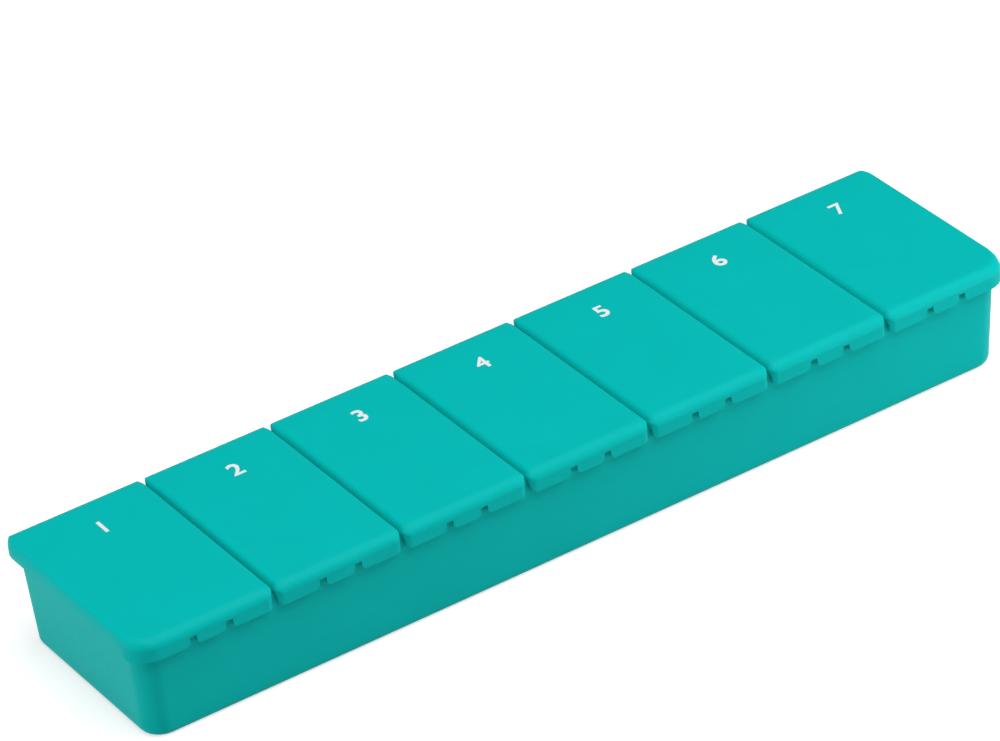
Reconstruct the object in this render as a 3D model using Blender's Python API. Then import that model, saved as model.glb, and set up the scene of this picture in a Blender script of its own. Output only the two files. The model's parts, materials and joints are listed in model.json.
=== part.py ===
"""Weekly pill box: one long tray with seven compartments and seven snap lids.

Units are metres. X runs along the row of lids, Y from the front (the snap tabs)
to the rear (the hinges), Z up. The origin is the middle of the tray's underside.
Each lid's own origin lies on its hinge axis.
"""

import math

import bmesh
import bpy
from mathutils import Matrix

# Whole box
LID_COUNT = 7
LID_PITCH = 0.0216
END_OVERHANG = 0.00175
LID_DEPTH = 0.0376
OVERALL_HEIGHT = 0.0180

# Lid plate
LID_GAP = 0.0003
PLATE_THICKNESS = 0.0013
FRONT_CORNER_RADIUS = 0.0013
REAR_CORNER_RADIUS = 0.0028
END_CORNER_RADIUS = 0.0043
END_REAR_CORNER_RADIUS = 0.0036
INNER_FILLET = 0.0004

# Soft top edges of a lid: each is a quarter of an ellipse, as wide in plan and as deep as given
SIDE_EDGE_WIDTH = 0.0026
SIDE_EDGE_DROP = 0.00045
END_EDGE_WIDTH = 0.0007
END_EDGE_DROP = 0.0018
FRONT_EDGE_WIDTH = 0.0018
FRONT_EDGE_DROP = 0.0016

# Lid skirt: a shallow rim all along, with three deeper tabs at the front
RIM_DEPTH = 0.0019
END_RIM_DEPTH = 0.0025
TAB_DEPTH = 0.0034
SKIRT_THICKNESS = 0.00075
END_SKIRT_THICKNESS = 0.0008
CATCH_TAB_WIDTH = 0.0048
CATCH_TAB_THICKNESS = 0.00055
NOTCH_WIDTH = 0.00115
TAB_CORNER_RADIUS = 0.0008
TAB_SIDE_INSET = 0.0003
END_TAB_REACH = 0.0034
END_TAB_RAMP = 0.0012

# Snap catch: a bead inside the middle tab rides over a ridge on the tray
CATCH_BEAD_HEIGHT = 0.0002
CATCH_BEAD_WIDTH = 0.0040
CATCH_BEAD_LIFT = 0.0004
CATCH_RIDGE_HEIGHT = 0.0002
CATCH_RIDGE_LIFT = 0.0003

# Locating rib under each lid
RIB_THICKNESS = 0.0008
RIB_DEPTH = 0.0011
RIB_CLEARANCE = 0.00035
RIB_REAR_REACH = 0.0018

# Hinge
BARREL_RADIUS = 0.0022
BARREL_COVER = 0.00001
BARREL_CLEARANCE = 0.00025
PIN_RADIUS = 0.0006
PIN_CLEARANCE = 0.0001
PIN_TIP_GAP = 0.00008
EAR_THICKNESS = 0.0014
EAR_WALL = 0.0005
EAR_SIDE_CLEARANCE = 0.0002
EAR_RELIEF_CLEARANCE = 0.00025
EAR_NECK_REACH = 0.00025
EAR_CLEAR_RISE = 0.0002
EAR_ROOT_REACH = 0.0032
EAR_SHOULDER_DROP = 0.00015
EAR_ROOT_OVERLAP = 0.0002
GUSSET_DROP = 0.0070
GUSSET_REACH = 0.0016
REAR_PLAN_MARGIN = 0.0002
SKIRT_END_REACH = 0.0005
END_WALL_SETBACK = 0.0002

# Tray
SEAT_GAP = 0.00025
SKIRT_CLEARANCE = 0.0003
END_SKIRT_CLEARANCE = 0.0003
WALL_THICKNESS = 0.0012
DIVIDER_THICKNESS = 0.0011
FLOOR_THICKNESS = 0.0012
DRAFT_INSET = 0.0007
END_DRAFT_INSET = 0.00095
CAVITY_DRAFT = 0.0002
TRAY_CORNER_RADIUS = 0.0035
BASE_EDGE_RADIUS = 0.0012
CAVITY_CORNER_RADIUS = 0.0015
FLOOR_FILLET = 0.0010

# Modelling
OVERRUN = 0.0010
CORNER_STEPS = 6
SMALL_CORNER_STEPS = 3
EDGE_STEPS = 4
LID_EDGE_STEPS = 6
EDGE_STEP_POWER = 1.5
BARREL_STEPS = 28
PIN_STEPS = 16
SMOOTH_ANGLE = math.radians(32)
TEAL = (0.003, 0.462, 0.445, 1.0)
TEAL_ROUGHNESS = 0.42

# Derived sizes
OVERALL_LENGTH = LID_COUNT * LID_PITCH + 2 * END_OVERHANG
END_REACH = LID_PITCH / 2 + END_OVERHANG
HINGE_Y = LID_DEPTH / 2 - BARREL_RADIUS
HINGE_Z = OVERALL_HEIGHT - BARREL_RADIUS - BARREL_COVER
TRAY_HEIGHT = OVERALL_HEIGHT - PLATE_THICKNESS - SEAT_GAP
TRAY_HALF_DEPTH = LID_DEPTH / 2 - SKIRT_THICKNESS - SKIRT_CLEARANCE
TRAY_HALF_LENGTH = OVERALL_LENGTH / 2 - END_SKIRT_THICKNESS - END_SKIRT_CLEARANCE
EAR_BORE = PIN_RADIUS + PIN_CLEARANCE
EAR_RADIUS = EAR_BORE + EAR_WALL
REBATE_RADIUS = BARREL_RADIUS + BARREL_CLEARANCE
LID_PLAN_HALF = (LID_PITCH - LID_GAP) / 2
END_EAR_X = TRAY_HALF_LENGTH - TRAY_CORNER_RADIUS
END_CAVITY_RADIUS = TRAY_CORNER_RADIUS - WALL_THICKNESS
EAR_ZONE_HALF = EAR_THICKNESS / 2 + EAR_SIDE_CLEARANCE

# A lid's own levels, measured up and back from its hinge axis
LID_TOP = BARREL_RADIUS + BARREL_COVER
PLATE_UNDERSIDE = LID_TOP - PLATE_THICKNESS
RIM_BOTTOM = LID_TOP - RIM_DEPTH
END_RIM_BOTTOM = LID_TOP - END_RIM_DEPTH
TAB_BOTTOM = LID_TOP - TAB_DEPTH
FORM_BOTTOM = -BARREL_RADIUS - OVERRUN
LID_FRONT = BARREL_RADIUS - LID_DEPTH
SKIRT_INNER_FACE = LID_FRONT + SKIRT_THICKNESS
LID_REAR = LID_TOP


# Mesh building

def outline(x_low, x_high, y_low, y_high, corners, z):
    """One level of a rounded rectangle; corners are (radius, steps) from the rear right, anticlockwise."""
    places = (
        (x_high, y_high, -1, -1),
        (x_low, y_high, 1, -1),
        (x_low, y_low, 1, 1),
        (x_high, y_low, -1, 1),
    )
    points = []
    for quarter, ((x, y, inward_x, inward_y), (radius, steps)) in enumerate(zip(places, corners)):
        if steps == 0:
            points.append((x, y, z))
            continue
        for step in range(steps + 1):
            angle = math.pi / 2 * (quarter + step / steps)
            points.append((
                x + inward_x * radius + radius * math.cos(angle),
                y + inward_y * radius + radius * math.sin(angle),
                z,
            ))
    return points


def loft(name, levels):
    """A closed solid through equal rings of points, lowest first."""
    mesh = bpy.data.meshes.new(name)
    built = bmesh.new()
    rings = [[built.verts.new(point) for point in level] for level in levels]
    built.faces.new(reversed(rings[0]))
    built.faces.new(rings[-1])
    for lower, upper in zip(rings, rings[1:]):
        for index, vertex in enumerate(lower):
            following = (index + 1) % len(lower)
            built.faces.new((vertex, lower[following], upper[following], upper[index]))
    bmesh.ops.recalc_face_normals(built, faces=built.faces)
    built.to_mesh(mesh)
    built.free()
    return link(name, mesh)


def link(name, mesh):
    """Puts a mesh into the scene as an object of this name."""
    made = bpy.data.objects.new(name, mesh)
    bpy.context.scene.collection.objects.link(made)
    return made


def slab(name, x_low, x_high, profile):
    """A profile of (y, z) points extruded along X."""
    return loft(name, [[(x, y, z) for y, z in profile] for x in (x_low, x_high)])


def plate(name, y_low, y_high, profile):
    """A profile of (x, z) points extruded along Y."""
    return loft(name, [[(x, y, z) for x, z in profile] for y in (y_low, y_high)])


def box(name, low, high):
    """A plain block between two opposite corners."""
    profile = ((low[1], low[2]), (high[1], low[2]), (high[1], high[2]), (low[1], high[2]))
    return slab(name, low[0], high[0], profile)


def arc(radius, start, end, steps, centre=(0, 0)):
    """Points of a circular arc, from start to end in radians."""
    return [
        (
            centre[0] + radius * math.cos(start + (end - start) * step / steps),
            centre[1] + radius * math.sin(start + (end - start) * step / steps),
        )
        for step in range(steps + 1)
    ]


def rod(name, x_low, x_high, radius, steps):
    """A round bar along X, centred on the axis through the origin."""
    return slab(name, x_low, x_high, arc(radius, 0, 2 * math.pi, steps)[:-1])


def combine(target, tool, operation):
    """Joins, cuts or intersects target with tool, and removes the tool."""
    modifier = target.modifiers.new(operation, "BOOLEAN")
    modifier.operation = operation
    modifier.solver = "EXACT"
    modifier.object = tool
    evaluated = target.evaluated_get(bpy.context.evaluated_depsgraph_get())
    result = bpy.data.meshes.new_from_object(evaluated)
    target.modifiers.clear()
    target.data = result
    bpy.data.objects.remove(tool)


def finish(made, material):
    """Gives a finished mesh its material and smooth rounds."""
    made.data.name = made.name
    made.data.materials.clear()
    made.data.materials.append(material)
    made.data.shade_smooth()
    made.data.set_sharp_from_angle(angle=SMOOTH_ANGLE)


# Lids

def cavity_span(left_is_end, right_is_end):
    """The compartment's side walls at the tray's top, from its middle."""
    end_wall = TRAY_HALF_LENGTH - WALL_THICKNESS - (LID_COUNT - 1) / 2 * LID_PITCH
    divider = (LID_PITCH - DIVIDER_THICKNESS) / 2
    left = -end_wall if left_is_end else -divider
    right = end_wall if right_is_end else divider
    return left, right


def corner_set(left_is_end, right_is_end):
    """Plan corners of a lid: large at the box's ends, smaller between lids."""
    end_radii = (END_REAR_CORNER_RADIUS, END_CORNER_RADIUS)
    side_radii = (REAR_CORNER_RADIUS, FRONT_CORNER_RADIUS)
    right_rear, right_front = end_radii if right_is_end else side_radii
    left_rear, left_front = end_radii if left_is_end else side_radii
    radii = (right_rear, left_rear, left_front, right_front)
    return [(radius, CORNER_STEPS) for radius in radii]


def lid_span(left_is_end, right_is_end):
    """The lid's left and right edges from the middle of its compartment."""
    left = -END_REACH if left_is_end else -LID_PLAN_HALF
    right = END_REACH if right_is_end else LID_PLAN_HALF
    return left, right


def raise_ring(plan, heights):
    """Lifts a plan outline to its sides' heights (right, rear, left, front), blended round the corners."""
    ring = []
    for index, (x, y, _) in enumerate(plan):
        quarter, step = divmod(index, CORNER_STEPS + 1)
        share = math.sin(math.pi / 2 * step / CORNER_STEPS) ** 2
        following = heights[(quarter + 1) % len(heights)]
        ring.append((x, y, heights[quarter] * (1 - share) + following * share))
    return ring


def flatten_faces(made):
    """Splits the warped quads of a mesh into triangles."""
    built = bmesh.new()
    built.from_mesh(made.data)
    quads = [face for face in built.faces if len(face.verts) == 4]
    bmesh.ops.triangulate(built, faces=quads)
    built.to_mesh(made.data)
    built.free()


def lid_form(left_is_end, right_is_end):
    """The lid's outer form: soft top edges, wide and shallow between lids, deep at the box's ends."""
    left, right = lid_span(left_is_end, right_is_end)
    rear = LID_REAR + REAR_PLAN_MARGIN
    end_edge = (END_EDGE_WIDTH, END_EDGE_DROP)
    side_edge = (SIDE_EDGE_WIDTH, SIDE_EDGE_DROP)
    edges = (
        end_edge if right_is_end else side_edge,
        (REAR_PLAN_MARGIN, REAR_PLAN_MARGIN),
        end_edge if left_is_end else side_edge,
        (FRONT_EDGE_WIDTH, FRONT_EDGE_DROP),
    )
    corners = corner_set(left_is_end, right_is_end)
    levels = [outline(left, right, LID_FRONT, rear, corners, FORM_BOTTOM)]
    for step in range(LID_EDGE_STEPS + 1):
        angle = math.pi / 2 * (step / LID_EDGE_STEPS) ** EDGE_STEP_POWER
        insets = [width * (1 - math.cos(angle)) for width, drop in edges]
        heights = [LID_TOP - drop * (1 - math.sin(angle)) for width, drop in edges]
        plan = outline(
            left + insets[2], right - insets[0], LID_FRONT + insets[3], rear - insets[1], corners, LID_TOP,
        )
        levels.append(raise_ring(plan, heights))
    form = loft("form", levels)
    flatten_faces(form)
    combine(form, rear_envelope(left, right), "INTERSECT")
    return form


def rear_envelope(left, right):
    """Rounds the lid's rear edge about the hinge axis, just outside the barrel."""
    facet = 2 * math.pi / BARREL_STEPS
    rounded = arc(LID_REAR, 0, math.pi / 2 - facet, BARREL_STEPS // 4 - 1)
    last_y, last_z = rounded[-1]
    # The last facet runs on through the crest above the axis, clear of the flat top.
    clear_z = LID_TOP + (LID_TOP - last_z) / last_y * OVERRUN
    profile = [
        (LID_FRONT - OVERRUN, FORM_BOTTOM - OVERRUN),
        (LID_REAR, FORM_BOTTOM - OVERRUN),
        *rounded,
        (-OVERRUN, clear_z),
        (LID_FRONT - OVERRUN, clear_z),
    ]
    return slab("envelope", left - OVERRUN, right + OVERRUN, profile)


def lid_hollow(left_is_end, right_is_end):
    """The space under the plate, open at the rear and beside the neighbouring lids."""
    left, right = lid_span(left_is_end, right_is_end)
    left += END_SKIRT_THICKNESS if left_is_end else -2 * OVERRUN
    right += -END_SKIRT_THICKNESS if right_is_end else 2 * OVERRUN
    inner_radius = END_CORNER_RADIUS - END_SKIRT_THICKNESS
    round_corner = (inner_radius, CORNER_STEPS)
    right_corner = round_corner if right_is_end else (0, 0)
    left_corner = round_corner if left_is_end else (0, 0)
    levels = [(TAB_BOTTOM - OVERRUN, 0)]
    for step in range(SMALL_CORNER_STEPS + 1):
        angle = math.pi / 2 * step / SMALL_CORNER_STEPS
        rise = INNER_FILLET * (1 - math.sin(angle))
        levels.append((PLATE_UNDERSIDE - rise, INNER_FILLET * (1 - math.cos(angle))))
    rings = []
    for height, inset in levels:
        corners = [
            (radius - inset if steps else 0, steps)
            for radius, steps in (right_corner, left_corner, left_corner, right_corner)
        ]
        rings.append(outline(
            left + inset, right - inset, SKIRT_INNER_FACE + inset, LID_REAR - END_SKIRT_THICKNESS - inset,
            corners, height,
        ))
    return loft("hollow", rings)


def rear_opening(left, right):
    """Ends the skirt just behind the hinge axis, so that the rear edge can swing down."""
    low = (left - 2 * OVERRUN, SKIRT_END_REACH, TAB_BOTTOM - OVERRUN)
    return box("rear opening", low, (right + 2 * OVERRUN, LID_REAR + 2 * OVERRUN, PLATE_UNDERSIDE))


def tab_profile(x_low, x_high):
    """A tab seen from the front: square at the top, rounded at its lower corners."""
    radius = TAB_CORNER_RADIUS
    bottom_left = (x_low + radius, TAB_BOTTOM + radius)
    bottom_right = (x_high - radius, TAB_BOTTOM + radius)
    return [
        (x_low, LID_TOP + OVERRUN),
        *arc(radius, math.pi, 1.5 * math.pi, SMALL_CORNER_STEPS, bottom_left),
        *arc(radius, 1.5 * math.pi, 2 * math.pi, SMALL_CORNER_STEPS, bottom_right),
        (x_high, LID_TOP + OVERRUN),
    ]


def end_skirt(x_low, x_high):
    """The skirt's depth at an end of the box: as deep as the tabs at the front, then a little shallower."""
    front = LID_FRONT - OVERRUN
    rear = LID_REAR + OVERRUN
    turn = LID_FRONT + END_TAB_REACH
    profile = [
        (front, TAB_BOTTOM),
        (turn, TAB_BOTTOM),
        (turn + END_TAB_RAMP, END_RIM_BOTTOM),
        (rear, END_RIM_BOTTOM),
        (rear, LID_TOP + OVERRUN),
        (front, LID_TOP + OVERRUN),
    ]
    return slab("end skirt", x_low, x_high, profile)


def skirt_stock(name, left_is_end, right_is_end):
    """A block as deep as the rim everywhere and as deep as the three tabs at the front."""
    left, right = lid_span(left_is_end, right_is_end)
    low = (left - OVERRUN, LID_FRONT - OVERRUN, RIM_BOTTOM)
    stock = box(name, low, (right + OVERRUN, LID_REAR + OVERRUN, LID_TOP + OVERRUN))
    catch = CATCH_TAB_WIDTH / 2
    outer = catch + NOTCH_WIDTH
    # At an end of the box the outer tab's rounded corner is hidden in the end skirt.
    hidden_inset = END_CORNER_RADIUS - 2 * TAB_CORNER_RADIUS
    tab_left = left + (hidden_inset if left_is_end else TAB_SIDE_INSET)
    tab_right = right - (hidden_inset if right_is_end else TAB_SIDE_INSET)
    for x_low, x_high in ((tab_left, -outer), (-catch, catch), (outer, tab_right)):
        tab = plate("tab", LID_FRONT - OVERRUN, LID_FRONT + END_CORNER_RADIUS, tab_profile(x_low, x_high))
        combine(stock, tab, "UNION")
    if left_is_end:
        combine(stock, end_skirt(left - OVERRUN, left + END_CORNER_RADIUS), "UNION")
    if right_is_end:
        combine(stock, end_skirt(right - END_CORNER_RADIUS, right + OVERRUN), "UNION")
    return stock


def ear_places(left_is_end, right_is_end):
    """The middles of the two ears that carry a lid."""
    end_ear = END_EAR_X - (LID_COUNT - 1) / 2 * LID_PITCH
    left = -end_ear if left_is_end else -LID_PITCH / 2
    right = end_ear if right_is_end else LID_PITCH / 2
    return left, right


def add_barrel(lid, left_is_end, right_is_end):
    """The round bar that stiffens the rear edge, between the tray's ears."""
    left, right = ear_places(left_is_end, right_is_end)
    barrel = rod("barrel", left + EAR_ZONE_HALF, right - EAR_ZONE_HALF, BARREL_RADIUS, BARREL_STEPS)
    combine(lid, barrel, "UNION")


def add_pins(lid, left_is_end, right_is_end):
    """The pins at the barrel's ends, which turn in the tray's ears."""
    left, right = ear_places(left_is_end, right_is_end)
    combine(lid, rod("pins", left + PIN_TIP_GAP, right - PIN_TIP_GAP, PIN_RADIUS, PIN_STEPS), "UNION")


def cut_ear_reliefs(lid, left_is_end, right_is_end):
    """Room for the ears in the lid's rear corners, or in the rear edge of an end lid."""
    for place in ear_places(left_is_end, right_is_end):
        low, high = place - EAR_ZONE_HALF, place + EAR_ZONE_HALF
        combine(lid, rod("relief", low, high, EAR_RADIUS + EAR_RELIEF_CLEARANCE, BARREL_STEPS), "DIFFERENCE")
        corner = (high, LID_REAR + OVERRUN, PLATE_UNDERSIDE + EAR_CLEAR_RISE)
        combine(lid, box("clearing", (low, EAR_NECK_REACH, TAB_BOTTOM), corner), "DIFFERENCE")


def thin_catch_tab(lid):
    """The middle tab is thinner than its neighbours, so that it can flex."""
    half = CATCH_TAB_WIDTH / 2 + NOTCH_WIDTH / 2
    low = (-half, LID_FRONT + CATCH_TAB_THICKNESS, TAB_BOTTOM - OVERRUN)
    combine(lid, box("thinning", low, (half, SKIRT_INNER_FACE + INNER_FILLET, RIM_BOTTOM)), "DIFFERENCE")


def wedge(name, half_width, root_y, height, direction, middle_z):
    """A small ridge of triangular section, rooted in the wall behind root_y."""
    root = root_y - direction * height
    profile = [
        (root, middle_z - 2 * height),
        (root_y, middle_z - height),
        (root_y + direction * height, middle_z),
        (root_y, middle_z + height),
        (root, middle_z + 2 * height),
    ]
    return slab(name, -half_width, half_width, profile)


def add_catch_bead(lid):
    """The bead inside the middle tab's lower edge."""
    middle_z = TAB_BOTTOM + CATCH_BEAD_LIFT + CATCH_BEAD_HEIGHT
    inner_face = LID_FRONT + CATCH_TAB_THICKNESS
    combine(lid, wedge("bead", CATCH_BEAD_WIDTH / 2, inner_face, CATCH_BEAD_HEIGHT, 1, middle_z), "UNION")


def add_locating_rib(lid, left_is_end, right_is_end):
    """The shallow rib that drops inside the compartment's front and sides."""
    left, right = cavity_span(left_is_end, right_is_end)
    radii = [
        END_CAVITY_RADIUS if is_end else CAVITY_CORNER_RADIUS
        for is_end in (left_is_end, right_is_end)
    ]
    front = WALL_THICKNESS - TRAY_HALF_DEPTH - HINGE_Y
    bottom = PLATE_UNDERSIDE - RIB_DEPTH
    parts = []
    for inset, rear, low, high in (
        (RIB_CLEARANCE, -RIB_REAR_REACH, bottom, PLATE_UNDERSIDE + PLATE_THICKNESS / 2),
        (RIB_CLEARANCE + RIB_THICKNESS, OVERRUN, bottom - OVERRUN, LID_TOP),
    ):
        front_corners = [(radius - inset, SMALL_CORNER_STEPS) for radius in radii]
        corners = [(0, 0), (0, 0), *front_corners]
        span = (left + inset, right - inset, front + inset, rear)
        parts.append(loft("rib", [outline(*span, corners, height) for height in (low, high)]))
    rib, inside = parts
    combine(rib, inside, "DIFFERENCE")
    combine(lid, rib, "UNION")


def make_lid_mesh(name, left_is_end, right_is_end):
    """One lid, about its hinge axis and the middle of its compartment."""
    lid = skirt_stock(name, left_is_end, right_is_end)
    combine(lid, lid_hollow(left_is_end, right_is_end), "DIFFERENCE")
    combine(lid, rear_opening(*lid_span(left_is_end, right_is_end)), "DIFFERENCE")
    add_barrel(lid, left_is_end, right_is_end)
    combine(lid, lid_form(left_is_end, right_is_end), "INTERSECT")
    cut_ear_reliefs(lid, left_is_end, right_is_end)
    add_pins(lid, left_is_end, right_is_end)
    thin_catch_tab(lid)
    add_catch_bead(lid)
    add_locating_rib(lid, left_is_end, right_is_end)
    return lid


def make_lids(tray, material):
    """The row of lids, each turning on its own axis."""
    first = make_lid_mesh("lid_1", True, False)
    inner = make_lid_mesh("lid_2", False, False)
    last = make_lid_mesh(f"lid_{LID_COUNT}", False, True)
    lids = [first, inner]
    for number in range(3, LID_COUNT):
        lids.append(link(f"lid_{number}", inner.data))
    lids.append(last)
    for made in (first, inner, last):
        finish(made, material)
    for index, lid in enumerate(lids):
        lid.location = (compartment_middle(index), HINGE_Y, HINGE_Z)
        lid.parent = tray


# Tray

def compartment_middle(index):
    """X of a compartment's middle."""
    return (index - (LID_COUNT - 1) / 2) * LID_PITCH


def tray_block():
    """The tray's solid outer form: drafted walls, round corners and a soft base edge."""
    levels = []
    for step in range(EDGE_STEPS + 1):
        angle = math.pi / 2 * step / EDGE_STEPS
        levels.append((
            BASE_EDGE_RADIUS * (1 - math.cos(angle)),
            BASE_EDGE_RADIUS * (1 - math.sin(angle)),
        ))
    levels.append((TRAY_HEIGHT, 0))
    rings = []
    for height, edge_inset in levels:
        lean = 1 - height / TRAY_HEIGHT
        half_length = TRAY_HALF_LENGTH - edge_inset - END_DRAFT_INSET * lean
        half_depth = TRAY_HALF_DEPTH - edge_inset - DRAFT_INSET * lean
        corners = [(TRAY_CORNER_RADIUS - edge_inset, CORNER_STEPS)] * 4
        rings.append(outline(-half_length, half_length, -half_depth, half_depth, corners, height))
    return loft("tray", rings)


def compartment_hollow(index):
    """The room inside one compartment, with a filleted floor."""
    left_is_end = index == 0
    right_is_end = index == LID_COUNT - 1
    middle = compartment_middle(index)
    left, right = (middle + side for side in cavity_span(left_is_end, right_is_end))
    half_depth = TRAY_HALF_DEPTH - WALL_THICKNESS
    left_radius = END_CAVITY_RADIUS if left_is_end else CAVITY_CORNER_RADIUS
    right_radius = END_CAVITY_RADIUS if right_is_end else CAVITY_CORNER_RADIUS
    left_draft = END_DRAFT_INSET if left_is_end else CAVITY_DRAFT
    right_draft = END_DRAFT_INSET if right_is_end else CAVITY_DRAFT
    levels = []
    for step in range(SMALL_CORNER_STEPS + 1):
        angle = math.pi / 2 * step / SMALL_CORNER_STEPS
        height = FLOOR_THICKNESS + FLOOR_FILLET * (1 - math.cos(angle))
        levels.append((height, FLOOR_FILLET * (1 - math.sin(angle))))
    levels.append((TRAY_HEIGHT + OVERRUN, 0))
    rings = []
    for height, fillet in levels:
        lean = 1 - height / TRAY_HEIGHT
        corners = [
            (radius - fillet, SMALL_CORNER_STEPS)
            for radius in (right_radius, left_radius, left_radius, right_radius)
        ]
        rings.append(outline(
            left + fillet + left_draft * lean,
            right - fillet - right_draft * lean,
            -half_depth + fillet + DRAFT_INSET * lean,
            half_depth - fillet - DRAFT_INSET * lean,
            corners,
            height,
        ))
    return loft("compartment", rings)


def cut_hinge_rebate(tray):
    """Lowers the rear wall and the dividers' ends, so that the lids' rear edges can turn."""
    floor = HINGE_Z - REBATE_RADIUS
    rear = LID_DEPTH / 2
    for half_length, front in (
        (END_EAR_X + EAR_ZONE_HALF, HINGE_Y - REBATE_RADIUS),
        (OVERALL_LENGTH / 2, HINGE_Y - END_WALL_SETBACK),
    ):
        cutter = box("rebate", (-half_length, front, floor), (half_length, rear, OVERALL_HEIGHT))
        combine(tray, cutter, "DIFFERENCE")


def ear_head():
    """The rounded top of an ear about the hinge axis, from its rear neck to its front shoulder."""
    shoulder = TRAY_HEIGHT - EAR_SHOULDER_DROP - HINGE_Z
    start = -math.acos(EAR_NECK_REACH / EAR_RADIUS)
    end = math.pi - math.asin(shoulder / EAR_RADIUS)
    return arc(EAR_RADIUS, start, end, BARREL_STEPS // 2), shoulder


def divider_ear(x_middle):
    """An ear rising from the rear end of a divider."""
    head, shoulder = ear_head()
    root = -REBATE_RADIUS - EAR_ROOT_OVERLAP
    profile = [(-EAR_ROOT_REACH, root), (EAR_NECK_REACH, root), *head, (-EAR_ROOT_REACH, shoulder)]
    return place_ear(x_middle, profile)


def end_ear(x_middle):
    """An ear rising from the rear wall, on a gusset inside the end compartment."""
    head, shoulder = ear_head()
    neck = (EAR_NECK_REACH, -REBATE_RADIUS - EAR_ROOT_OVERLAP)
    foot = (EAR_NECK_REACH, -GUSSET_DROP)
    front = (-GUSSET_REACH, -EAR_RADIUS)
    return place_ear(x_middle, [front, foot, neck, *head, (-GUSSET_REACH, shoulder)])


def place_ear(x_middle, profile):
    """Extrudes an ear's profile at its place in the tray."""
    placed = [(HINGE_Y + y, HINGE_Z + z) for y, z in profile]
    return slab("ear", x_middle - EAR_THICKNESS / 2, x_middle + EAR_THICKNESS / 2, placed)


def add_ears(tray):
    """Ears on every divider and near both ends, and one bore through them all."""
    for index in range(LID_COUNT - 1):
        combine(tray, divider_ear(compartment_middle(index) + LID_PITCH / 2), "UNION")
    for side in (-1, 1):
        combine(tray, end_ear(side * END_EAR_X), "UNION")
    bore = [(HINGE_Y + y, HINGE_Z + z) for y, z in arc(EAR_BORE, 0, 2 * math.pi, PIN_STEPS)[:-1]]
    reach = END_EAR_X + EAR_ZONE_HALF
    combine(tray, slab("bore", -reach, reach, bore), "DIFFERENCE")


def add_catch_ridges(tray):
    """The ridge on the front wall that each lid's bead snaps under."""
    middle_z = HINGE_Z + RIM_BOTTOM - CATCH_RIDGE_LIFT
    face = -TRAY_HALF_DEPTH + DRAFT_INSET * (1 - middle_z / TRAY_HEIGHT)
    for index in range(LID_COUNT):
        ridge = wedge("ridge", CATCH_BEAD_WIDTH / 2, face, CATCH_RIDGE_HEIGHT, -1, middle_z)
        ridge.data.transform(Matrix.Translation((compartment_middle(index), 0, 0)))
        combine(tray, ridge, "UNION")


def make_tray(material):
    """The tray: compartments, lowered rear wall, hinge ears and catch ridges."""
    tray = tray_block()
    for index in range(LID_COUNT):
        combine(tray, compartment_hollow(index), "DIFFERENCE")
    cut_hinge_rebate(tray)
    add_ears(tray)
    add_catch_ridges(tray)
    finish(tray, material)
    return tray


def plastic(name):
    """The satin teal plastic that the tray and the lids are moulded in."""
    material = bpy.data.materials.new(name)
    material.use_nodes = True
    shader = material.node_tree.nodes["Principled BSDF"]
    shader.inputs["Base Color"].default_value = TEAL
    shader.inputs["Roughness"].default_value = TEAL_ROUGHNESS
    shader.inputs["Metallic"].default_value = 0
    return material


def main():
    """Clears the scene and builds the pill box."""
    for old in list(bpy.data.objects):
        bpy.data.objects.remove(old)
    tray = make_tray(plastic("tray_plastic"))
    make_lids(tray, plastic("lid_plastic"))


main()
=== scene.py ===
"""Looks of the weekly pill box: satin teal mouldings, printed numbers and a plain studio."""

import json
import logging
import math
from dataclasses import dataclass, field
from enum import Enum
from typing import Any, Iterable

import bmesh
import bpy
from mathutils import Matrix, Vector

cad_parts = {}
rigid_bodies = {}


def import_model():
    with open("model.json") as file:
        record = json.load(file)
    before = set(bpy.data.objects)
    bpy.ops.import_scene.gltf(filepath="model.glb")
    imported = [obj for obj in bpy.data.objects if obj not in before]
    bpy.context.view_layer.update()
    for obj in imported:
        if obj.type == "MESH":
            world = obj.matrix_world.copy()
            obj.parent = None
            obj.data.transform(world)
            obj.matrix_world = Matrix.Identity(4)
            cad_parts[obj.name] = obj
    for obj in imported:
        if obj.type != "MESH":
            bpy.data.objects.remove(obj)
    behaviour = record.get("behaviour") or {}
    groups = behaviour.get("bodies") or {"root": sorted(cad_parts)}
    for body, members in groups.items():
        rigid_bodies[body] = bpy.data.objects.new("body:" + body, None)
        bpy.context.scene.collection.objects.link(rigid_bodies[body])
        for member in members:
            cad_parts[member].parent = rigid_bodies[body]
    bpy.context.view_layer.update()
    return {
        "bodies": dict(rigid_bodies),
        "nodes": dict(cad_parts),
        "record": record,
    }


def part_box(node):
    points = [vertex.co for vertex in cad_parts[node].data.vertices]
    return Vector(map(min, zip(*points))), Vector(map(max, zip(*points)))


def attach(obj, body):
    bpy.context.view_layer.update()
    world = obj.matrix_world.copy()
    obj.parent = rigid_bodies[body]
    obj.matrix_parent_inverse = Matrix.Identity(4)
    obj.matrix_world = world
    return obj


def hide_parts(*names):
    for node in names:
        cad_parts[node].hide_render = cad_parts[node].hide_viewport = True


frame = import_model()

log = logging.getLogger("pill_box")

MILLIMETRE = 0.001
LID_COUNT = 7
LID_PITCH = 21.6 * MILLIMETRE
LID_GAP = 0.3 * MILLIMETRE
Colour = tuple[float, float, float, float]


class Moulding(Enum):
    """The two kinds of moulding, each naming the plastic material that it is given."""

    TRAY = "tray_plastic"
    LID = "lid_plastic"


class LampRole(Enum):
    """What each studio lamp is for."""

    OVERHEAD = "overhead"
    END_FILL = "end_fill"
    FRONT_FILL = "front_fill"


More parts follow.
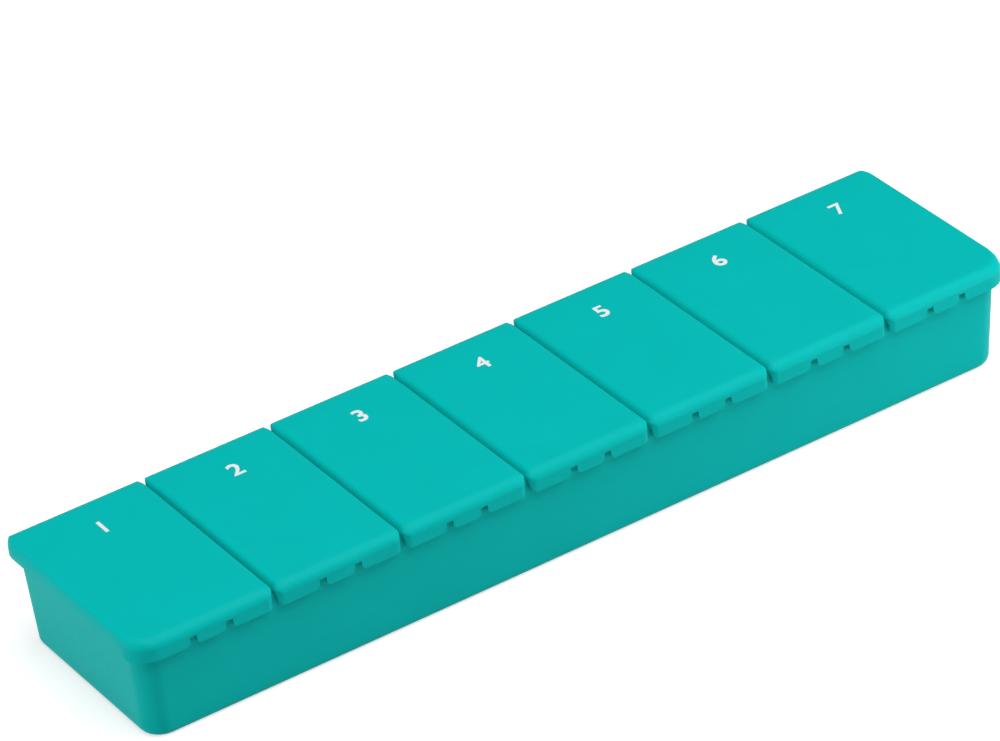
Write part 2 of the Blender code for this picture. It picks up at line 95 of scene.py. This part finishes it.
class NodeSheet:
    """Adds nodes to one tree and joins them."""

    column_width: int = 180

    def __init__(self, tree: bpy.types.NodeTree) -> None:
        """Takes the tree that the nodes go into.

        Args:
            tree: an empty shader or geometry node tree.
        """
        self.tree = tree
        self.column = 0

    def add(self, kind: str, inputs: dict[Any, Any] | None = None, **settings: Any) -> bpy.types.Node:
        """Adds a node, sets its properties and fills or joins its inputs.

        Args:
            kind: the node's type name.
            inputs: a value or an output socket for each input's name or number.
            **settings: the node's own properties.

        Returns:
            The new node.
        """
        node = self.tree.nodes.new(kind)
        node.location = (self.column * self.column_width, 0)
        self.column += 1
        for name, value in settings.items():
            setattr(node, name, value)
        for key, value in (inputs or {}).items():
            if isinstance(value, bpy.types.NodeSocket):
                self.tree.links.new(value, node.inputs[key])
            else:
                node.inputs[key].default_value = value
        return node

    def socket(self, name: str, kind: str, value: Any = None, output: bool = False) -> None:
        """Declares one input or output of a node group.

        Args:
            name: the socket's name.
            kind: the socket's type name.
            value: its value when nothing is joined to it.
            output: whether it is an output.
        """
        side = "OUTPUT" if output else "INPUT"
        made = self.tree.interface.new_socket(name=name, in_out=side, socket_type=kind)
        if value is not None:
            made.default_value = value


@dataclass(frozen=True)
class MouldSkin:
    """The fine spark-eroded grain, flow mottle and light rubbing of a moulded surface."""

    grain_size: float = 0.22 * MILLIMETRE
    mottle_size: float = 9.0 * MILLIMETRE
    rub_size: float = 1.1 * MILLIMETRE
    details: tuple[float, float, float] = (2.0, 3.0, 4.0)
    roughnesses: tuple[float, float, float] = (0.55, 0.5, 0.65)
    rub_low: float = 0.45
    rub_high: float = 0.72

    def group(self) -> bpy.types.NodeTree:
        """Builds the shader node group once.

        Returns:
            A group with Grain, Mottle and Rub outputs, each from 0 to 1.
        """
        tree = bpy.data.node_groups.new("mould_skin", "ShaderNodeTree")
        sheet = NodeSheet(tree)
        sheet.socket("Position", "NodeSocketVector")
        sheet.socket("Grain Size", "NodeSocketFloat", self.grain_size)
        sheet.socket("Mottle Size", "NodeSocketFloat", self.mottle_size)
        sheet.socket("Rub Size", "NodeSocketFloat", self.rub_size)
        masks = ("Grain", "Mottle", "Rub")
        for name in masks:
            sheet.socket(name, "NodeSocketFloat", output=True)
        entry = sheet.add("NodeGroupInput")
        results = []
        for name, detail, roughness in zip(masks, self.details, self.roughnesses):
            size = entry.outputs[f"{name} Size"]
            scale = sheet.add("ShaderNodeMath", {0: 1.0, 1: size}, operation="DIVIDE")
            noise = sheet.add("ShaderNodeTexNoise", {
                "Vector": entry.outputs["Position"],
                "Scale": scale.outputs[0],
                "Detail": detail,
                "Roughness": roughness,
            })
            results.append(noise.outputs["Fac"])
        rub = sheet.add("ShaderNodeMapRange", {
            "Value": results[-1],
            "From Min": self.rub_low,
            "From Max": self.rub_high,
        })
        results[-1] = rub.outputs["Result"]
        sheet.add("NodeGroupOutput", dict(zip(masks, results)))
        return tree


@dataclass(frozen=True)
class SatinPlastic:
    """A satin moulded plastic, coloured right through."""

    name: str
    deep: Colour = (0.0, 0.455, 0.430, 1.0)
    light: Colour = (0.0, 0.490, 0.466, 1.0)
    roughness: float = 0.44
    roughness_spread: float = 0.10
    specular: float = 0.05
    grain_height: float = 0.006 * MILLIMETRE
    grain_strength: float = 0.35

    def material(self, skin: bpy.types.NodeTree) -> bpy.types.Material:
        """Builds the material.

        Args:
            skin: the mould skin's node group.

        Returns:
            The finished material.
        """
        made = bpy.data.materials.new(self.name)
        made.use_nodes = True
        tree = made.node_tree
        shader = tree.nodes["Principled BSDF"]
        sheet = NodeSheet(tree)
        place = sheet.add("ShaderNodeTexCoord")
        surface = sheet.add("ShaderNodeGroup", node_tree=skin)
        tree.links.new(place.outputs["Object"], surface.inputs["Position"])
        colour = sheet.add(
            "ShaderNodeMix",
            {"Factor": surface.outputs["Mottle"], "A": self.deep, "B": self.light},
            data_type="RGBA",
        )
        tree.links.new(colour.outputs["Result"], shader.inputs["Base Color"])
        rough = sheet.add("ShaderNodeMapRange", {
            "Value": surface.outputs["Rub"],
            "To Min": self.roughness + self.roughness_spread / 2,
            "To Max": self.roughness - self.roughness_spread / 2,
        })
        tree.links.new(rough.outputs["Result"], shader.inputs["Roughness"])
        bump = sheet.add("ShaderNodeBump", {
            "Height": surface.outputs["Grain"],
            "Distance": self.grain_height,
            "Strength": self.grain_strength,
        })
        tree.links.new(bump.outputs["Normal"], shader.inputs["Normal"])
        shader.inputs["Specular IOR Level"].default_value = self.specular
        return made


@dataclass(frozen=True)
class PrintInk:
    """The thin white ink of the printed numbers."""

    name: str = "number_ink"
    full: Colour = (0.86, 0.87, 0.88, 1.0)
    thin: Colour = (0.74, 0.80, 0.81, 1.0)
    roughness: float = 0.5

    def material(self, skin: bpy.types.NodeTree) -> bpy.types.Material:
        """Builds the material.

        Args:
            skin: the mould skin's node group.

        Returns:
            The finished material.
        """
        plastic = SatinPlastic(self.name, self.thin, self.full, self.roughness)
        return plastic.material(skin)


@dataclass(frozen=True)
class ShoulderRoll:
    """The round shoulder along a lid's left side, shallower over the hinge ears."""

    width: float = 1.3 * MILLIMETRE
    drop: float = 0.95 * MILLIMETRE
    fade_depth: float = 1.5 * MILLIMETRE
    steps: int = 9
    hinge_share: float = 0.62
    hinge_front: float = 13.2 * MILLIMETRE
    hinge_rear: float = 15.0 * MILLIMETRE
    hinge_steps: int = 4
    plane_tolerance: float = 0.0001 * MILLIMETRE

    def side(self, index: int) -> float:
        """Finds X of the left side of the lid at this place in the row, from 0."""
        middle = (index - (LID_COUNT - 1) / 2) * LID_PITCH
        return middle - (LID_PITCH - LID_GAP) / 2

    def cut(self, built: bmesh.types.BMesh, place: Vector, normal: Vector) -> None:
        """Cuts new edges into the mesh where a plane meets it.

        Args:
            built: the lid's mesh.
            place: a point of the plane.
            normal: the plane's direction.
        """
        parts = [*built.verts, *built.edges, *built.faces]
        bmesh.ops.bisect_plane(
            built, geom=parts, dist=self.plane_tolerance, plane_co=place, plane_no=normal
        )

    def shape(self, built: bmesh.types.BMesh, index: int) -> None:
        """Cuts strips along the lid's left side and lowers them into a round shoulder.

        Args:
            built: the lid's mesh.
            index: the lid's place in the row, from 0.
        """
        side = self.side(index)
        top = max(vertex.co.z for vertex in built.verts)
        for step in range(1, self.steps + 1):
            inset = self.width * (1 - math.cos(math.pi / 2 * step / self.steps))
            self.cut(built, Vector((side + inset, 0, 0)), Vector((1, 0, 0)))
        for step in range(self.hinge_steps + 1):
            y = self.hinge_front + (self.hinge_rear - self.hinge_front) * step / self.hinge_steps
            self.cut(built, Vector((0, y, 0)), Vector((0, 1, 0)))
        for vertex in built.verts:
            inset = max(vertex.co.x - side, 0)
            depth = top - vertex.co.z
            if inset < self.width and depth < self.fade_depth:
                share = 1 - inset / self.width
                lowered = self.drop * (1 - math.sqrt(1 - share * share))
                lowered *= self.rear_share(vertex.co.y)
                vertex.co.z -= lowered * (1 - depth / self.fade_depth)

    def rear_share(self, y: float) -> float:
        """Tells how much of the drop is left at this Y, fading smoothly over the hinge.

        Args:
            y: the place along the lid's depth.

        Returns:
            1 in front of the hinge, and the hinge's own share over it.
        """
        along = (y - self.hinge_front) / (self.hinge_rear - self.hinge_front)
        along = min(max(along, 0), 1)
        return 1 - (1 - self.hinge_share) * along * along * (3 - 2 * along)


@dataclass
class MouldedPiece:
    """One moulding of the box, shown with soft edges in place of its faceted solid."""

    node: str
    body: str
    kind: Moulding
    roll: ShoulderRoll = ShoulderRoll()
    edge_radius: float = 0.09 * MILLIMETRE
    edge_segments: int = 2
    smooth_angle: float = math.radians(32)
    flat_angle: float = math.radians(0.4)
    merge_distance: float = 0.0005 * MILLIMETRE

    def build(self, material: bpy.types.Material) -> bpy.types.Object:
        """Makes the piece from the solid that it stands for.

        Args:
            material: the plastic that it is moulded in.

        Returns:
            The finished piece, riding on its body.
        """
        mesh = self.welded_mesh()
        piece = bpy.data.objects.new(f"{self.node}_moulding", mesh)
        bpy.context.scene.collection.objects.link(piece)
        self.soften(piece)
        piece.data.materials.clear()
        piece.data.materials.append(material)
        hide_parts(self.node)
        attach(piece, self.body)
        return piece

    def welded_mesh(self) -> bpy.types.Mesh:
        """Copies the solid's triangles, welded, with its flat faces made whole.

        Returns:
            The copy, shaped and shaded, before its edges are rounded.
        """
        built = bmesh.new()
        built.from_mesh(frame["nodes"][self.node].data)
        bmesh.ops.remove_doubles(built, verts=built.verts, dist=self.merge_distance)
        bmesh.ops.dissolve_limit(
            built, angle_limit=self.flat_angle, verts=built.verts, edges=built.edges, delimit={"NORMAL"},
        )
        index = int(self.node.removeprefix("lid_")) - 1 if self.kind is Moulding.LID else 0
        if index > 0:
            self.roll.shape(built, index)
        mesh = bpy.data.meshes.new(f"{self.node}_moulding")
        built.to_mesh(mesh)
        built.free()
        mesh.shade_smooth()
        mesh.set_sharp_from_angle(angle=self.smooth_angle)
        return mesh

    def soften(self, piece: bpy.types.Object) -> None:
        """Rounds the sharp edges a little and evens the shading of flat faces.

        Args:
            piece: the object to finish, whose modifiers are applied here.
        """
        bevel = piece.modifiers.new("edges", "BEVEL")
        bevel.width = self.edge_radius
        bevel.segments = self.edge_segments
        bevel.limit_method = "ANGLE"
        bevel.angle_limit = self.smooth_angle
        bevel.harden_normals = True
        weighted = piece.modifiers.new("shading", "WEIGHTED_NORMAL")
        weighted.keep_sharp = True
        evaluated = piece.evaluated_get(bpy.context.evaluated_depsgraph_get())
        finished = bpy.data.meshes.new_from_object(evaluated)
        piece.modifiers.clear()
        piece.data = finished


@dataclass
class NumberRow:
    """The printed numbers, one near the rear of each lid."""

    cap_height: float = 3.1 * MILLIMETRE
    stroke_gain: float = 0.10 * MILLIMETRE
    ink_depth: float = 0.02 * MILLIMETRE
    sink: float = 0.01 * MILLIMETRE
    offset_x: float = 0.9 * MILLIMETRE
    place_y: float = 10.3 * MILLIMETRE
    capital_share: float = 0.72
    merge_distance: float = 0.001 * MILLIMETRE
    tree: bpy.types.NodeTree | None = field(default=None, init=False)

    def build(self, ink: bpy.types.Material) -> list[bpy.types.Object]:
        """Prints every number.

        Args:
            ink: the ink's material.

        Returns:
            The numbers in order, each riding on its lid.
        """
        self.tree = self.number_tree()
        return [self.number(index, ink) for index in range(LID_COUNT)]

    def number_tree(self) -> bpy.types.NodeTree:
        """Builds the Geometry Nodes tree that turns a numeral into a thin layer of ink.

        Returns:
            The tree, with its sizes as named inputs.
        """
        tree = bpy.data.node_groups.new("printed_number", "GeometryNodeTree")
        sheet = NodeSheet(tree)
        sheet.socket("Geometry", "NodeSocketGeometry")
        sheet.socket("Numeral", "NodeSocketString", "1")
        sheet.socket("Letter Size", "NodeSocketFloat", self.cap_height / self.capital_share)
        sheet.socket("Stroke Gain", "NodeSocketFloat", self.stroke_gain)
        sheet.socket("Ink Depth", "NodeSocketFloat", self.ink_depth)
        sheet.socket("Place", "NodeSocketVector")
        sheet.socket("Ink", "NodeSocketMaterial")
        sheet.socket("Geometry", "NodeSocketGeometry", output=True)
        entry = sheet.add("NodeGroupInput")
        letters = sheet.add(
            "GeometryNodeStringToCurves",
            {"String": entry.outputs["Numeral"], "Size": entry.outputs["Letter Size"]},
            align_x="CENTER",
            align_y="MIDDLE",
        )
        letters.font = bpy.data.fonts.load("<builtin>", check_existing=True)
        outlines = sheet.add(
            "GeometryNodeRealizeInstances", {"Geometry": letters.outputs["Curve Instances"]}
        )
        upright = sheet.add(
            "GeometryNodeSetCurveNormal", {"Curve": outlines.outputs[0]}, mode="Z_UP"
        )
        points = sheet.add(
            "GeometryNodeResampleCurve", {"Curve": upright.outputs[0]}, mode="EVALUATED"
        )
        normal = sheet.add("GeometryNodeInputNormal")
        spread = sheet.add(
            "ShaderNodeVectorMath",
            {0: normal.outputs["Normal"], "Scale": entry.outputs["Stroke Gain"]},
            operation="SCALE",
        )
        bold = sheet.add(
            "GeometryNodeSetPosition",
            {"Geometry": points.outputs[0], "Offset": spread.outputs["Vector"]},
        )
        face = sheet.add("GeometryNodeFillCurve", {"Curve": bold.outputs[0]}, mode="TRIANGLES")
        layer = sheet.add(
            "GeometryNodeExtrudeMesh",
            {"Mesh": face.outputs[0], "Offset Scale": entry.outputs["Ink Depth"], "Individual": False},
            mode="FACES",
        )
        under = sheet.add("GeometryNodeFlipFaces", {"Mesh": face.outputs[0]})
        both = sheet.add("GeometryNodeJoinGeometry")
        tree.links.new(layer.outputs["Mesh"], both.inputs[0])
        tree.links.new(under.outputs[0], both.inputs[0])
        closed = sheet.add("GeometryNodeMergeByDistance", {
            "Geometry": both.outputs[0],
            "Distance": self.merge_distance,
        })
        moved = sheet.add(
            "GeometryNodeTransform",
            {"Geometry": closed.outputs[0], "Translation": entry.outputs["Place"]},
        )
        real = sheet.add("GeometryNodeRealizeInstances", {"Geometry": moved.outputs[0]})
        inked = sheet.add(
            "GeometryNodeSetMaterial",
            {"Geometry": real.outputs[0], "Material": entry.outputs["Ink"]},
        )
        sheet.add("NodeGroupOutput", {"Geometry": inked.outputs[0]})
        return tree

    def number(self, index: int, ink: bpy.types.Material) -> bpy.types.Object:
        """Prints one number on its lid.

        Args:
            index: the lid's place in the row, from 0.
            ink: the ink's material.

        Returns:
            The number as a plain mesh.
        """
        low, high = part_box(f"lid_{index + 1}")
        middle = (low.x + high.x) / 2
        place = (middle + self.offset_x, self.place_y, high.z - self.sink)
        holder = bpy.data.objects.new("number_holder", bpy.data.meshes.new("number_holder"))
        bpy.context.scene.collection.objects.link(holder)
        modifier = holder.modifiers.new("print", "NODES")
        modifier.node_group = self.tree
        values = {"Numeral": str(index + 1), "Place": place, "Ink": ink}
        for socket in self.tree.interface.items_tree:
            if socket.in_out == "INPUT" and socket.name in values:
                modifier[socket.identifier] = values[socket.name]
        evaluated = holder.evaluated_get(bpy.context.evaluated_depsgraph_get())
        mesh = bpy.data.meshes.new_from_object(evaluated)
        bpy.data.objects.remove(holder)
        mesh.name = f"number_{index + 1}"
        piece = bpy.data.objects.new(mesh.name, mesh)
        bpy.context.scene.collection.objects.link(piece)
        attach(piece, f"lid_{index + 1}")
        return piece


@dataclass(frozen=True)
class Lamp:
    """One soft rectangular studio lamp."""

    role: LampRole
    place: tuple[float, float, float]
    target: tuple[float, float, float]
    width: float
    height: float
    watts: float

    def hang(self) -> bpy.types.Object:
        """Puts the lamp in the studio.

        Returns:
            The lamp's object.
        """
        data = bpy.data.lights.new(self.role.value, "AREA")
        data.shape = "RECTANGLE"
        data.size = self.width
        data.size_y = self.height
        data.energy = self.watts
        lamp = bpy.data.objects.new(self.role.value, data)
        bpy.context.scene.collection.objects.link(lamp)
        lamp.location = self.place
        aim = Vector(self.target) - Vector(self.place)
        lamp.rotation_euler = aim.to_track_quat("-Z", "Y").to_euler()
        return lamp


@dataclass
class Studio:
    """The plain pale floor, the soft light and the camera at the picture's angle."""

    floor_half: float = 3.0
    floor_colour: Colour = (0.58, 0.58, 0.58, 1.0)
    floor_roughness: float = 0.9
    floor_specular: float = 0.1
    floor_lift: float = 0.66
    horizon_light: float = 0.5
    sky_light: float = 0.15
    horizon_rise: float = 0.07
    sky_rise: float = 0.16
    camera_place: tuple[float, float, float] = (-0.3815, -0.6231, 0.4918)
    azimuth: float = math.radians(31.31)
    elevation: float = math.radians(32.72)
    roll: float = math.radians(5.26)
    lens: float = 213.86
    sensor: float = 36.0
    clip_start: float = 0.01
    lamps: tuple[Lamp, ...] = (
        Lamp(LampRole.OVERHEAD, (0.10, -0.20, 0.75), (0.0, 0.0, 0.0), 0.9, 0.9, 7.7),
        Lamp(LampRole.END_FILL, (-0.42, 0.11, 0.05), (-0.07, 0.0, 0.01), 0.10, 0.06, 0.57),
        Lamp(LampRole.FRONT_FILL, (0.19, -0.15, 0.03), (0.06, -0.02, 0.01), 0.10, 0.05, 0.13),
    )

    def build(self) -> None:
        """Makes the floor, the sky, the lamps and the camera."""
        self.lay_floor()
        self.light_sky()
        for lamp in self.lamps:
            lamp.hang()
        self.place_camera()
        bpy.context.scene.view_settings.view_transform = "Standard"

    def lay_floor(self) -> bpy.types.Object:
        """Lays the floor under the box.

        Returns:
            The floor.
        """
        half = self.floor_half
        mesh = bpy.data.meshes.new("floor")
        corners = [(-half, -half, 0), (half, -half, 0), (half, half, 0), (-half, half, 0)]
        mesh.from_pydata(corners, [], [(0, 1, 2, 3)])
        floor = bpy.data.objects.new("floor", mesh)
        bpy.context.scene.collection.objects.link(floor)
        material = bpy.data.materials.new("floor_paper")
        material.use_nodes = True
        tree = material.node_tree
        sheet = NodeSheet(tree)
        shader = tree.nodes["Principled BSDF"]
        shader.inputs["Base Color"].default_value = self.floor_colour
        shader.inputs["Roughness"].default_value = self.floor_roughness
        shader.inputs["Specular IOR Level"].default_value = self.floor_specular
        path = sheet.add("ShaderNodeLightPath")
        direct = sheet.add(
            "ShaderNodeMath",
            {0: path.outputs["Is Camera Ray"], 1: path.outputs["Is Glossy Ray"]},
            operation="MAXIMUM",
        )
        seen = sheet.add(
            "ShaderNodeMath",
            {0: direct.outputs[0], 1: path.outputs["Is Transmission Ray"]},
            operation="MAXIMUM",
        )
        lift = sheet.add(
            "ShaderNodeMath",
            {0: seen.outputs[0], 1: self.floor_lift},
            operation="MULTIPLY",
        )
        glow = sheet.add("ShaderNodeEmission", {"Strength": lift.outputs[0]})
        both = sheet.add("ShaderNodeAddShader", {0: shader.outputs["BSDF"], 1: glow.outputs[0]})
        tree.links.new(both.outputs[0], tree.nodes["Material Output"].inputs["Surface"])
        mesh.materials.append(material)
        return floor

    def light_sky(self) -> None:
        """Surrounds the box with a white horizon under a dim, even sky."""
        world = bpy.data.worlds.new("studio")
        world.use_nodes = True
        tree = world.node_tree
        tree.nodes.clear()
        sheet = NodeSheet(tree)
        direction = sheet.add("ShaderNodeTexCoord")
        parts = sheet.add("ShaderNodeSeparateXYZ", {"Vector": direction.outputs["Generated"]})
        level = sheet.add("ShaderNodeMapRange", {
            "Value": parts.outputs["Z"],
            "From Min": self.horizon_rise,
            "From Max": self.sky_rise,
            "To Min": self.horizon_light,
            "To Max": self.sky_light,
        }, interpolation_type="SMOOTHSTEP")
        sky = sheet.add("ShaderNodeBackground", {"Strength": level.outputs["Result"]})
        sheet.add("ShaderNodeOutputWorld", {"Surface": sky.outputs[0]})
        bpy.context.scene.world = world

    def place_camera(self) -> bpy.types.Object:
        """Sets the camera where the picture was taken from.

        Returns:
            The scene's camera.
        """
        flat = math.cos(self.elevation)
        forward = Vector((
            math.sin(self.azimuth) * flat,
            math.cos(self.azimuth) * flat,
            -math.sin(self.elevation),
        ))
        level_right = Vector((math.cos(self.azimuth), -math.sin(self.azimuth), 0))
        level_up = level_right.cross(forward)
        right = level_right * math.cos(self.roll) - level_up * math.sin(self.roll)
        up = right.cross(forward)
        turn = Matrix((right, up, -forward)).transposed().to_4x4()
        data = bpy.data.cameras.new("picture_camera")
        data.lens = self.lens
        data.sensor_width = self.sensor
        data.sensor_fit = "HORIZONTAL"
        data.clip_start = self.clip_start
        camera = bpy.data.objects.new("picture_camera", data)
        bpy.context.scene.collection.objects.link(camera)
        camera.matrix_world = Matrix.Translation(self.camera_place) @ turn
        bpy.context.scene.camera = camera
        return camera


def clear_startup(kept: Iterable[bpy.types.Object]) -> None:
    """Removes whatever the new file held.

    Args:
        kept: the objects of the frame.
    """
    names = {item.name for item in kept}
    for old in list(bpy.data.objects):
        if old.name not in names:
            bpy.data.objects.remove(old)


def main() -> None:
    """Builds the mouldings, the print and the studio, and reports each piece."""
    logging.basicConfig(level=logging.INFO, format="%(name)s: %(message)s")
    clear_startup([*frame["nodes"].values(), *frame["bodies"].values()])
    skin = MouldSkin().group()
    plastics = {kind: SatinPlastic(f"{kind.value}_satin").material(skin) for kind in Moulding}
    pieces: list[bpy.types.Object] = []
    for body, nodes in frame["record"]["behaviour"]["bodies"].items():
        for node in nodes:
            kind = Moulding.TRAY if node == "tray" else Moulding.LID
            pieces.append(MouldedPiece(node, body, kind).build(plastics[kind]))
    pieces.extend(NumberRow().build(PrintInk().material(skin)))
    Studio().build()
    for piece in pieces:
        log.info("%s: %d faces", piece.name, len(piece.data.polygons))


if __name__ == "__main__":
    main()
